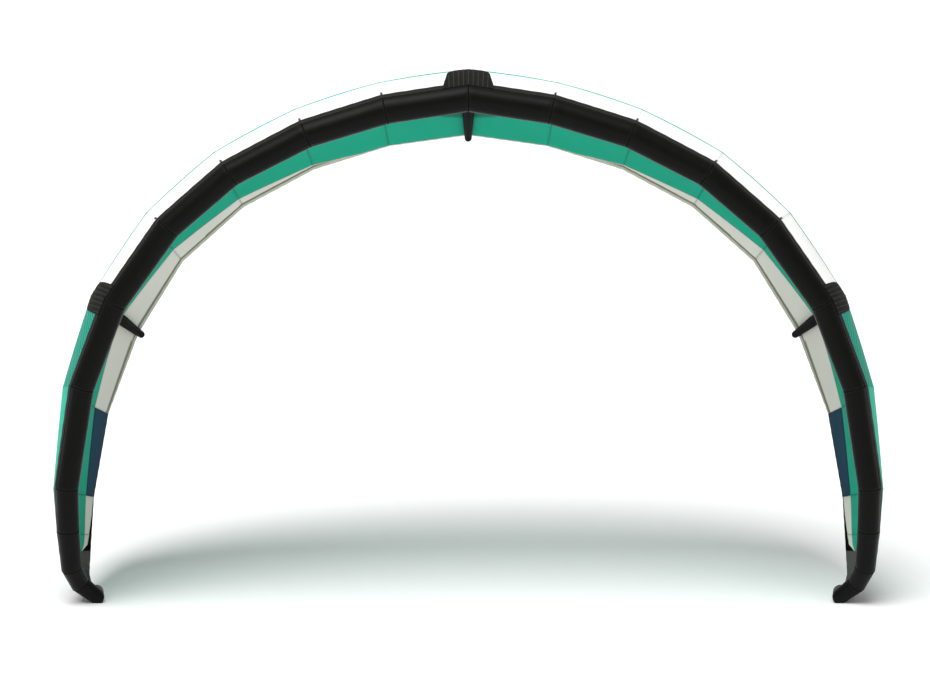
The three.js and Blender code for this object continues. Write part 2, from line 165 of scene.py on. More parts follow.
class KiteShape:
    """The kite's form as functions: its tube's joints and the surface of its cloth."""

    def __init__(self) -> None:
        """Works out the joints, the ribs' curves and their lengths from the table."""
        rows = np.array(RIB_ROWS, float)
        self.centres = np.vstack([rows[:, :3], TUBE_END[:3]]) * MM
        self.radii = np.append(rows[:, 3], TUBE_END[3]) * MM / 2
        self.runs = unit(np.diff(self.centres, axis=0))
        middle = unit(self.runs[:-1] + self.runs[1:])
        self.miters = np.vstack([[1.0, 0.0, 0.0], middle, self.runs[-1]])
        backs = rows[:, 5:8] * MM - self.centres[:-1]
        along = self.miters[np.minimum(np.arange(LAST_RIB + 1), LAST_RIB - 1)]
        self.outs = unit(np.cross(along, backs))
        curves = [
            self._rib_curve(rib, math.radians(row[4]), backs[rib], row[8] * MM)
            for rib, row in enumerate(rows)
        ]
        self.lines = np.array([points for points, _ in curves])
        self.lengths = np.array([length for _, length in curves])
        self.gores = np.linalg.norm(np.diff(self.centres[:-1], axis=0), axis=1)

    def skin(self, joint: int, run: Array, angles: Array, extra: float = 0.0) -> Array:
        """Points on the tube's skin where two lengths of it meet.

        Args:
            joint: The joint's number.
            run: The way the length of tube runs.
            angles: Angles in front of the tube's top, in radians.
            extra: How far outside the skin.

        Returns:
            One point for each angle.
        """
        out = unit(self.outs[joint] - self.outs[joint].dot(run) * run)
        forward = np.cross(run, out)
        reach = self.radii[joint] + extra
        angles = np.asarray(angles, float)[..., None]
        points = self.centres[joint] + reach * (out * np.cos(angles) + forward * np.sin(angles))
        return self.onto_miter(points, joint, run)

    def onto_miter(self, points: Array, joint: int, run: Array) -> Array:
        """Moves points along a length of tube on to the plane where the lengths meet at a joint.

        Args:
            points: The points.
            joint: The joint's number.
            run: The way the length of tube runs.

        Returns:
            The points, moved.
        """
        miter = self.miters[joint]
        slide = (self.centres[joint] - points) @ miter / run.dot(miter)
        return points + slide[..., None] * run

    def _rib_curve(self, rib: int, seam: float, back: Array, crest: float) -> tuple[Array, float]:
        """The cloth's line over a rib.

        Args:
            rib: The rib's number.
            seam: The angle in front of the tube's top at which the cloth is sewn on, in radians.
            back: The way from the tube's middle to the trailing edge.
            crest: How high the cloth rises over that way.

        Returns:
            Evenly spaced points, and the line's length.
        """
        length = float(np.linalg.norm(back))
        chord = back / length
        out, centre = self.outs[rib], self.centres[rib]
        start = self.skin(rib, self.runs[rib], np.array(seam), CLOTH_SEAT)
        reach = FRONT_HANDLE * length
        early = start + reach * (math.cos(seam) * chord + math.sin(seam) * out)
        rise = float((start - centre).dot(out))
        # Half way along a Bezier its points weigh 1/8, 3/8, 3/8 and 1/8, and there the cloth is at its crest
        late_rise = (crest - rise / 8 - 3 / 8 * (rise + reach * math.sin(seam))) * 8 / 3
        late = centre + REAR_HANDLE * length * chord + late_rise * out
        t = np.linspace(0, 1, BEZIER_STEPS + 1)[:, None]
        curve = (1 - t) ** 3 * start + 3 * (1 - t) ** 2 * t * early + 3 * (1 - t) * t**2 * late
        curve = curve + t**3 * (centre + back)
        gone = np.concatenate([[0], np.cumsum(np.linalg.norm(np.diff(curve, axis=0), axis=1))])
        even = np.linspace(0, gone[-1], LINE_SAMPLES + 1)
        points = np.stack([np.interp(even, gone, curve[:, axis]) for axis in range(3)], axis=1)
        return points, float(gone[-1])

    def length(self, station: Array) -> Array:
        """The cloth's length from the leading edge to the trailing edge at a station."""
        return np.interp(np.abs(station), np.arange(LAST_RIB + 1), self.lengths)

    def cloth(self, station: Array, share: Array) -> Array:
        """Points of the cloth.

        Args:
            station: Rib numbers, with parts between ribs. Below 0 is the other half.
            share: From 0 at the leading edge to 1 at the trailing edge.

        Returns:
            The points, in metres, in the level kite.
        """
        station, share = np.broadcast_arrays(np.asarray(station, float), np.asarray(share, float))
        mirror = np.where(station < 0, -1.0, 1.0)
        station = np.minimum(np.abs(station), LAST_RIB)
        rib = np.minimum(station.astype(int), LAST_RIB - 1)
        between = station - rib
        place = np.clip(share, 0, 1) * LINE_SAMPLES
        row = np.minimum(place.astype(int), LINE_SAMPLES - 1)
        part = (place - row)[..., None]
        here = self.lines[rib, row] * (1 - part) + self.lines[rib, row + 1] * part
        there = self.lines[rib + 1, row] * (1 - part) + self.lines[rib + 1, row + 1] * part
        billow = GORE_BILLOW * 4 * between * (1 - between) * np.sin(math.pi * np.clip(share, 0, 1))
        billow = billow * np.minimum(1, self.lengths[rib] / self.lengths[0]) ** 3
        blend = between[..., None]
        points = here * (1 - blend) + there * blend + self.outs[rib] * billow[..., None]
        points[..., 0] *= mirror
        return points

    def normal(self, station: Array, share: Array) -> Array:
        """The way out of the cloth at points of it.

        Args:
            station: Rib numbers, with parts between ribs.
            share: From 0 at the leading edge to 1 at the trailing edge.

        Returns:
            One way for each point, at length 1.
        """
        station, share = np.broadcast_arrays(np.asarray(station, float), np.asarray(share, float))
        here = self.cloth(station, share)
        ahead = self.cloth(np.minimum(station + STATION_STEP, LAST_RIB), share)
        behind = self.cloth(station - STATION_STEP, share)
        across = unit(ahead - here) + unit(here - behind)
        chord = self.cloth(station, share + SHARE_STEP) - self.cloth(station, share - SHARE_STEP)
        return unit(np.cross(across, chord))

    def stand(self, points: Array, side: Side) -> Array:
        """Points of the level right half, tipped nose up, set on the floor and put in their own half.

        Args:
            points: Points in metres.
            side: The half they belong to.

        Returns:
            The points in the frame that the solids stand in.
        """
        x, y, z = np.moveaxis(points, -1, 0)
        back = y * math.cos(NOSE_UP) + z * math.sin(NOSE_UP) + LEADING_EDGE_AT[1]
        up = z * math.cos(NOSE_UP) - y * math.sin(NOSE_UP) + LEADING_EDGE_AT[2]
        return np.stack([x * side.value, back, np.maximum(up, 0.0)], axis=-1)


SHAPE = KiteShape()
FRONT_WIDTH = table_line(FRONT_WIDTHS)
BAND_WIDTH = table_line(BAND_WIDTHS)
TIP_BAND_WIDTH = table_line(TIP_BAND_WIDTHS)
REAR_WIDTH = table_line(REAR_WIDTHS)


def seam_line(station: Array) -> Array:
    """Distance from the seam at the tube of the cloth's front border."""
    return np.zeros_like(station)


def flange_line(station: Array) -> Array:
    """Distance of the flange tape's rear border."""
    return np.full_like(station, FLANGE_WIDTH * MM)


def front_line(station: Array) -> Array:
    """Distance of the front panels' rear border."""
    return FLANGE_WIDTH * MM + FRONT_WIDTH(station)


def rear_line(station: Array) -> Array:
    """Distance of the rear panels' front border."""
    band = np.where(station > TIP_BAND, TIP_BAND_WIDTH(station), BAND_WIDTH(station))
    return SHAPE.length(station) - np.maximum(REAR_WIDTH(station), band)


def band_line(station: Array) -> Array:
    """Distance of the front border of the binding on the trailing edge."""
    return SHAPE.length(station) - BAND_WIDTH(station)


def tip_band_line(station: Array) -> Array:
    """Distance of the front border of the wing tip's trailing edge band."""
    return SHAPE.length(station) - TIP_BAND_WIDTH(station)


def trailing_edge(station: Array) -> Array:
    """Distance of the trailing edge."""
    return SHAPE.length(station)


# Meshes


def spaced(length: float) -> Array:
    """Places along a strip, a cell apart, with some close to both ends for the seam there.

    Args:
        length: The strip's length in metres.

    Returns:
        Places from 0 to length.
    """
    scale = min(1, length / NARROW)
    first = PAST_SEAM * scale
    inner = np.linspace(first, length - first, max(2, round(length / CELL)))
    return np.concatenate([SEAM_MARKS * scale, inner, length - SEAM_MARKS[::-1] * scale])


def grid_object(name: str, columns: int, rows: int, place: Placing) -> bpy.types.Object:
    """Makes a grid and puts each of its points in place.

    Args:
        name: The object's name.
        columns: How many cells across.
        rows: How many cells along.
        place: Takes the points' column and row numbers, and gives their places and their UV in metres, and
            named values for the materials, such as how far each point is from the nearest seam.

    Returns:
        The new object.
    """
    bm = bmesh.new()
    bmesh.ops.create_grid(bm, x_segments=columns, y_segments=rows, size=0.5)
    mesh = bpy.data.meshes.new(name)
    bm.to_mesh(mesh)
    bm.free()
    flat = np.empty(len(mesh.vertices) * 3)
    mesh.vertices.foreach_get("co", flat)
    spot = flat.reshape(-1, 3) + 0.5
    numbers = [np.rint(spot[:, axis] * cells).astype(int) for axis, cells in enumerate((columns, rows))]
    points, uv, values = place(*numbers)
    mesh.vertices.foreach_set("co", points.astype(np.float32).ravel())
    corners = np.empty(len(mesh.loops), np.int32)
    mesh.loops.foreach_get("vertex_index", corners)
    layer = mesh.uv_layers.new(name="UVMap")
    layer.data.foreach_set("uv", uv[corners].astype(np.float32).ravel())
    for key, value in values.items():
        mesh.attributes.new(key, "FLOAT", "POINT").data.foreach_set("value", value.astype(np.float32))
    piece = bpy.data.objects.new(name, mesh)
    bpy.context.scene.collection.objects.link(piece)
    return piece


def tidy_mesh(piece: bpy.types.Object, closed: bool, flip: bool = False) -> None:
    """Joins points that meet, closes open ends and turns faces outwards.

    Args:
        piece: The object whose mesh is tidied.
        closed: Whether it is a closed body and not a sheet.
        flip: Whether a sheet's faces are turned over.
    """
    bm = bmesh.new()
    bm.from_mesh(piece.data)
    bmesh.ops.remove_doubles(bm, verts=bm.verts, dist=TOUCHING)
    bmesh.ops.dissolve_degenerate(bm, edges=bm.edges, dist=NO_LENGTH)
    if closed:
        bmesh.ops.holes_fill(bm, edges=[e for e in bm.edges if e.is_boundary], sides=0)
        bmesh.ops.recalc_face_normals(bm, faces=bm.faces)
    elif flip:
        bmesh.ops.reverse_faces(bm, faces=bm.faces)
    for face in bm.faces:
        face.smooth = len(face.verts) <= 4  # a filled end stays flat
    bm.to_mesh(piece.data)
    bm.free()


def dress(piece: bpy.types.Object, nodes: Sequence[str], material: bpy.types.Material) -> None:
    """Gives a piece its material and its body, and hides the solids that it stands for.

    Args:
        piece: The piece.
        nodes: The solids' names.
        material: Its finish.
    """
    piece.data.materials.append(material)
    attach(piece, "root")
    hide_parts(*nodes)
    LOG.info("%s: %d faces", piece.name, len(piece.data.polygons))


# Finishes

Node = bpy.types.Node
Socket = bpy.types.NodeSocket
Value = Node | Socket | float
Colour = tuple[float, float, float, float]

# A Mix node's two inputs and its output for colours
MIX_UNDER, MIX_OVER, MIX_RESULT = 6, 7, 2
BUMP_DEPTH = 1.2 * MM
BUMP_STRENGTH = 0.6

# Stitches, in two rows beside a seam. The thread is drawn twice as thick as the real one, so that it shows.
STITCH_ROW = 3 * MM
STITCH_ROWS_APART = 5 * MM
STITCHED = 10.5 * MM
STITCH_LENGTH = 4.2 * MM
STITCH_PITCH = 6 * MM
STITCH_THREAD = 1.2 * MM


def add(
    tree: bpy.types.NodeTree,
    kind: str,
    *values: Value,
    inputs: dict[str | int, object] | None = None,
    **settings: object,
) -> Node:
    """Adds a node, with its settings and its inputs' values or links.

    Args:
        tree: The node tree.
        kind: The node's type without "ShaderNode".
        values: What its first inputs take: a value, a socket, or a node for that node's first output.
        inputs: The same for other inputs, by name or number.
        settings: Properties of the node.

    Returns:
        The node.
    """
    node = tree.nodes.new(f"ShaderNode{kind}")
    for key, value in settings.items():
        setattr(node, key, value)
    for key, value in (dict(enumerate(values)) | (inputs or {})).items():
        source = value.outputs[0] if isinstance(value, Node) else value
        if isinstance(source, Socket):
            tree.links.new(source, node.inputs[key])
        else:
            node.inputs[key].default_value = source
    return node


def shaded(colour: str, factor: float) -> Colour:
    """A colour in linear values, made darker or lighter by a factor."""
    red, green, blue, alpha = linear(colour)
    return red * factor, green * factor, blue * factor, alpha


def stripes(tree: bpy.types.NodeTree, way: Value, pitch: float, width: float) -> Node:
    """A mask of stripes.

    Args:
        tree: The node tree.
        way: The distance in metres that they cross.
        pitch: How far apart they are. One lies at 0.
        width: Their width.

    Returns:
        A node that gives 1 on a stripe and 0 beside it.
    """
    off = add(tree, "Math", way, pitch / 2, operation="PINGPONG")
    return add(tree, "Math", off, width / 2, operation="LESS_THAN")


def plain_weave(tree: bpy.types.NodeTree, across: Value, along: Value, pitch: float) -> Node:
    """The relief of a plain weave.

    Args:
        tree: The node tree.
        across: The distance along the weft.
        along: The distance along the warp.
        pitch: How far apart the threads are.

    Returns:
        A node that gives heights from 0 to 1.
    """
    warp, weft = (add(tree, "Math", way, pitch / 2, operation="PINGPONG") for way in (across, along))
    both = add(tree, "Math", warp, weft, operation="ADD")
    return add(tree, "Math", both, 1 / pitch, operation="MULTIPLY")


def stitching(tree: bpy.types.NodeTree, across: Value, along: Value, seam: Value) -> Node:
    """A mask of two rows of stitches beside a seam.

    Args:
        tree: The node tree.
        across: The distance across the kite.
        along: The distance along it.
        seam: The distance from the nearest seam.

    Returns:
        A node that gives 1 on the thread.
    """
    off = add(tree, "Math", seam, STITCH_ROW, operation="SUBTRACT")
    rows = stripes(tree, off, STITCH_ROWS_APART, STITCH_THREAD)
    near = add(tree, "Math", seam, STITCHED, operation="LESS_THAN")
    slant = add(tree, "Math", across, along, operation="ADD")
    dashes = stripes(tree, slant, STITCH_PITCH, STITCH_LENGTH)
    lines = add(tree, "Math", near, rows, operation="MULTIPLY")
    return add(tree, "Math", lines, dashes, operation="MULTIPLY")


@dataclass
class Pattern:
    """A cloth's surface, in layers.

    clouds is a noise that makes the colour uneven. A layer is a mask, its strength and the colour that it
    lays over the ones before. A relief is a height and its share of the bump's depth.
    """

    clouds: Value
    layers: list[tuple[Value, float, Colour]]
    relief: list[tuple[Value, float]]
    roughness: Value


@dataclass(frozen=True)
class Finish:
    """A finish with a colour and a gloss. Each kind of cloth has its own pattern().

    Clouds in the cloth vary its colour between the factors dark and light. It is at its darkest where the
    noise is at or below darkest, and at its lightest as far above a half.
    """

    name: str
    colour: str
    roughness: float = 0.6
    specular: float = 0.5
    dark: float = 0.85
    light: float = 1.15
    darkest: float = 0.35

    def build(self) -> bpy.types.Material:
        """Makes the material, once.

        Returns:
            The material.
        """
        if self.name in bpy.data.materials:
            return bpy.data.materials[self.name]
        material = bpy.data.materials.new(self.name)
        material.use_nodes = True
        tree = material.node_tree
        tree.nodes.clear()
        pattern = self.pattern(tree)
        uneven = add(tree, "MapRange", pattern.clouds, self.darkest, 1 - self.darkest, 0.0, 1.0)
        colour: Colour | Socket = shaded(self.colour, self.dark)
        for mask, strength, over in [(uneven, 1.0, shaded(self.colour, self.light)), *pattern.layers]:
            amount = add(tree, "Math", mask, strength, operation="MULTIPLY")
            mix = add(tree, "Mix", amount, inputs={MIX_UNDER: colour, MIX_OVER: over}, data_type="RGBA")
            colour = mix.outputs[MIX_RESULT]
        height: Value = 0.0
        for relief, share in pattern.relief:
            height = add(tree, "Math", relief, share, height, operation="MULTIPLY_ADD")
        bump = add(tree, "Bump", BUMP_STRENGTH, BUMP_DEPTH, inputs={"Height": height})
        inputs = {
            "Base Color": colour,
            "Roughness": pattern.roughness,
            "Normal": bump,
            "Specular IOR Level": self.specular,
        }
        add(tree, "OutputMaterial", add(tree, "BsdfPrincipled", inputs=inputs))
        return material

    def pattern(self, tree: bpy.types.NodeTree) -> Pattern:
        """The surface of the cloth."""
        raise NotImplementedError

    def surface(self, tree: bpy.types.NodeTree) -> tuple[Socket, Socket, Socket, Socket]:
        """Where a point of the cloth lies.

        Args:
            tree: The node tree.

        Returns:
            How far it is across and along the UV map, how far from the nearest seam, and its place in space.
        """
        split = add(tree, "SeparateXYZ", add(tree, "UVMap", uv_map="UVMap"))
        seam = add(tree, "Attribute", attribute_name="seam").outputs["Fac"]
        return split.outputs["X"], split.outputs["Y"], seam, add(tree, "TexCoord").outputs["Object"]


@dataclass(frozen=True)
class Ripstop(Finish):
    """Coated nylon or polyester ripstop, woven with a thicker thread every few millimetres.

    The eye sees a taut, slightly crinkled sheet with a soft gloss, a fine square grid, and doubled cloth
    with two rows of stitches along each seam. The thicker thread is 0.3 mm and is drawn 0.6 mm, so that it
    shows. The hatching has a bend with a height in metres and a turn in radians for each metre.
    """

    dark: float = 0.965
    light: float = 1.03
    darkest: float = 0.3
    grid: float = 5 * MM
    grid_thread: float = 0.6 * MM
    crinkle: float = 26.3 * MM
    cloud: float = 455 * MM
    doubled: float = 10.8 * MM
    crease: float = 1.9 * MM
    gloss_change: float = 0.06
    seam_shade: float = 0.5
    thread: str = "#e8e8e4"
    hatch: str = ""
    hatch_pitch: float = 24 * MM
    hatch_width: float = 11 * MM
    hatch_slope: float = 0.3
    hatch_bend: float = 50 * MM
    hatch_turn: float = 5.5
    trim: str = "#7fdccd"
    tick: str = "#1c1c1a"
    shade: float = 0.0

    def pattern(self, tree: bpy.types.NodeTree) -> Pattern:
        """Ripstop grid, crinkle, seam allowance and stitches.

        Args:
            tree: The node tree.

        Returns:
            The surface.
        """
        across, along, seam, place = self.surface(tree)
        threads = [stripes(tree, way, self.grid, self.grid_thread) for way in (across, along)]
        grid = add(tree, "Math", *threads, operation="MAXIMUM")
        folds = {"Scale": 1 / self.crinkle, "Detail": 5.0, "Roughness": 0.6}
        crinkle = add(tree, "TexNoise", place, inputs=folds)
        clouds = add(tree, "TexNoise", place, inputs={"Scale": 1 / self.cloud, "Detail": 3.0})
        doubled = add(tree, "Math", seam, self.doubled, operation="LESS_THAN")
        crease = add(tree, "Math", seam, self.crease, operation="LESS_THAN")
        stitches = stitching(tree, across, along, seam)
        nodes = [add(tree, "Attribute", attribute_name=key) for key in ("shade", "trim", "tick")]
        shade, trim, tick = (node.outputs["Fac"] for node in nodes)
        hatching = [(self.hatching(tree, across, along), 0.75, linear(self.hatch))] if self.hatch else []
        layers = [
            *hatching,
            (grid, 0.35, shaded(self.colour, 0.86)),
            (shade, self.shade, shaded(self.colour, 0.45)),
            (doubled, 1.0, shaded(self.colour, 0.94)),
            (crease, 1.0, shaded(self.colour, self.seam_shade)),
            (stitches, 0.7, linear(self.thread)),
            (trim, 1.0, linear(self.trim)),
            (tick, 1.0, linear(self.tick)),
        ]
        ends = {"To Min": self.roughness - self.gloss_change, "To Max": self.roughness + self.gloss_change}
        rough = add(tree, "MapRange", crinkle, inputs=ends)
        return Pattern(clouds, layers, [(crinkle, 1.0), (grid, 0.12), (stitches, 0.5)], rough)

    def hatching(self, tree: bpy.types.NodeTree, across: Value, along: Value) -> Node:
        """Generic slanted stripes that bend a little.

        Args:
            tree: The node tree.
            across: The distance across the kite.
            along: The distance along it.

        Returns:
            A node that gives 1 on a stripe.
        """
        turn = add(tree, "Math", along, self.hatch_turn, operation="MULTIPLY")
        sine = add(tree, "Math", turn, operation="SINE")
        slant = add(tree, "Math", along, self.hatch_slope, across, operation="MULTIPLY_ADD")
        bent = add(tree, "Math", sine, self.hatch_bend, slant, operation="MULTIPLY_ADD")
        return stripes(tree, bent, self.hatch_pitch, self.hatch_width)


@dataclass(frozen=True)
class Sleeve(Finish):
    """Woven polyester sleeve cloth, heavy and resin filled, which holds the bladders of the tubes.

    The eye sees near black with a soft broad highlight, a fine plain weave, and stitched seams that are a
    little darker than the cloth. The threads are 0.5 mm and are drawn 1.1 mm, so that they show.
    """

    light: float = 1.12
    pitch: float = 2.2 * MM
    wear: float = 62.5 * MM
    crease: float = 4.5 * MM
    crease_roughness: float = 0.95
    gloss_change: float = 0.08
    thread: str = "#2a2a28"

    def pattern(self, tree: bpy.types.NodeTree) -> Pattern:
        """Plain weave, seams and a little wear.

        Args:
            tree: The node tree.

        Returns:
            The surface.
        """
        across, along, seam, place = self.surface(tree)
        weave = plain_weave(tree, across, along, self.pitch)
        patches = {"Scale": 1 / self.wear, "Detail": 6.0, "Roughness": 0.65}
        wear = add(tree, "TexNoise", place, inputs=patches)
        crease = add(tree, "Math", seam, self.crease, operation="LESS_THAN")
        stitches = stitching(tree, across, along, seam)
        layers = [
            (weave, 0.3, shaded(self.colour, 1.35)),
            (crease, 1.0, shaded(self.colour, 0.25)),
            (stitches, 1.0, linear(self.thread)),
        ]
        ends = {"To Min": self.roughness - self.gloss_change, "To Max": self.roughness + self.gloss_change}
        worn = add(tree, "MapRange", wear, inputs=ends)
        dull = add(tree, "Math", crease, self.crease_roughness, operation="MULTIPLY")
        rough = add(tree, "Math", worn, dull, operation="MAXIMUM")
        return Pattern(wear, layers, [(weave, 0.25), (wear, 0.5), (stitches, 0.5)], rough)


@dataclass(frozen=True)
class Tape(Finish):
    """Woven tape or binding, with ribs across it and a zigzag of stitches that holds it.

    The eye sees a dull, slightly hairy band with a fine rib, and the zigzag's threads along its borders.
    """

    dark: float = 0.88
    light: float = 1.1
    rib: float = 2.5 * MM
    wear: float = 33.3 * MM
    zigzag_pitch: float = 12 * MM
    zigzag_depth: float = 4.8 * MM
    zigzag_border: float = 1.5 * MM
    zigzag_thread: float = 1.6 * MM
    thread: str = "#b9b9a8"

    def pattern(self, tree: bpy.types.NodeTree) -> Pattern:
        """Ribs, a zigzag of stitches beside each border, and dirt.

        Args:
            tree: The node tree.

        Returns:
            The surface.
        """
        across, _, seam, place = self.surface(tree)
        ramp = add(tree, "Math", across, self.rib / 2, operation="PINGPONG")
        rib = add(tree, "Math", ramp, 2 / self.rib, operation="MULTIPLY")
        turn = add(tree, "Math", across, self.zigzag_pitch / 2, operation="PINGPONG")
        slope = 2 * self.zigzag_depth / self.zigzag_pitch
        line = add(tree, "Math", turn, slope, self.zigzag_border, operation="MULTIPLY_ADD")
        zigzag = add(tree, "Math", seam, line, self.zigzag_thread / 2, operation="COMPARE")
        dirt = add(tree, "TexNoise", place, inputs={"Scale": 1 / self.wear, "Detail": 4.0})
        layers = [(rib, 0.25, shaded(self.colour, 0.7)), (zigzag, 1.0, linear(self.thread))]
        return Pattern(dirt, layers, [(rib, 0.4), (zigzag, 0.6)], self.roughness)


@dataclass(frozen=True)
class RibbedPatch(Finish):
    """Heavy laminated patch cloth with sewn ribs along it, which spreads the load of a strut.

    The eye sees charcoal, dull, with the crowns of the ribs painted paler as a painted highlight, and a
    folded and stitched border. The threads are 0.6 mm and are drawn 1.2 mm, so that they show; they take the
    highlight's colour.
    """

    # The pale colour of the painted highlight on the ribs' crowns, which the stitches' thread takes too
    crown: str = "#5a5a57"
    crown_width: float = 3.6 * MM
    border: float = 12 * MM
    pitch: float = 2.4 * MM
    wear: float = 40 * MM

    def pattern(self, tree: bpy.types.NodeTree) -> Pattern:
        """A painted highlight on the ribs' crowns, a coarse weave and a stitched border.

        Args:
            tree: The node tree.

        Returns:
            The surface.
        """
        across, along, seam, place = self.surface(tree)
        # Painted highlight: a pale stripe along each rib's crown, inside the border
        highlight_stripes = stripes(tree, across, RIB_PITCH, self.crown_width)
        inside = add(tree, "Math", seam, self.border, operation="GREATER_THAN")
        ribs = add(tree, "Math", highlight_stripes, inside, operation="MULTIPLY")
        weave = plain_weave(tree, across, along, self.pitch)
        wear = add(tree, "TexNoise", place, inputs={"Scale": 1 / self.wear, "Detail": 5.0})
        stitches = stitching(tree, across, along, seam)
        layers = [(ribs, 0.8, linear(self.crown)), (stitches, 0.6, linear(self.crown))]
        return Pattern(wear, layers, [(weave, 0.384), (wear, 1.0)], self.roughness)


WHITE_RIPSTOP = Ripstop("white_coated_ripstop", "#fbfbfa", 0.5, 0.04, thread="#d0d0cd", seam_shade=0.75)
TEAL_RIPSTOP = Ripstop("teal_coated_ripstop", "#0fa889", 0.5, 0.03, thread="#157a66")
TEAL_UNDERSIDE = Ripstop("teal_ripstop_underside", "#0fa889", 0.5, 0.03, thread="#157a66", shade=1.0)
HATCHED_RIPSTOP = Ripstop("hatched_teal_ripstop", "#2ba58d", 0.5, 0.03, thread="#157a66", hatch="#176253")
BRIGHT_RIPSTOP = Ripstop("bright_teal_ripstop", "#24bb9c", 0.5, 0.03, thread="#1b9c83")
CREAM_RIPSTOP = Ripstop("cream_coated_ripstop", "#e6e2da", 0.55, 0.04, thread="#a9a99c", trim="#7e7e6a")
NAVY_RIPSTOP = Ripstop("navy_coated_ripstop", "#1c4258", 0.5, 0.02, thread="#16303e")
BLACK_RIPSTOP = Ripstop("black_tip_cloth", "#161614", 0.6, 0.0, thread="#222220")
TUBE_SLEEVE = Sleeve("black_woven_sleeve", "#080807", 0.42, 0.1)
STRUT_SLEEVE = Sleeve("black_strut_sleeve", "#0d0d0c", 0.5, 0.01)
FLANGE_TAPE = Tape("black_flange_tape", "#252523", 0.6, 0.1, thread="#3a3a37")
KHAKI_BINDING = Tape("khaki_binding", "#626250", 0.8, 0.0, thread="#9c9c88")
BLACK_BINDING = Tape("black_tip_binding", "#121210", 0.7, 0.0, thread="#222220")
# The crown colour is the painted highlight on the ribs, and the stitches' thread
PATCH_CLOTH = RibbedPatch("charcoal_patch_cloth", "#1c1c1a", 0.7, 0.05, crown="#3b3b38")


# Sub-assemblies


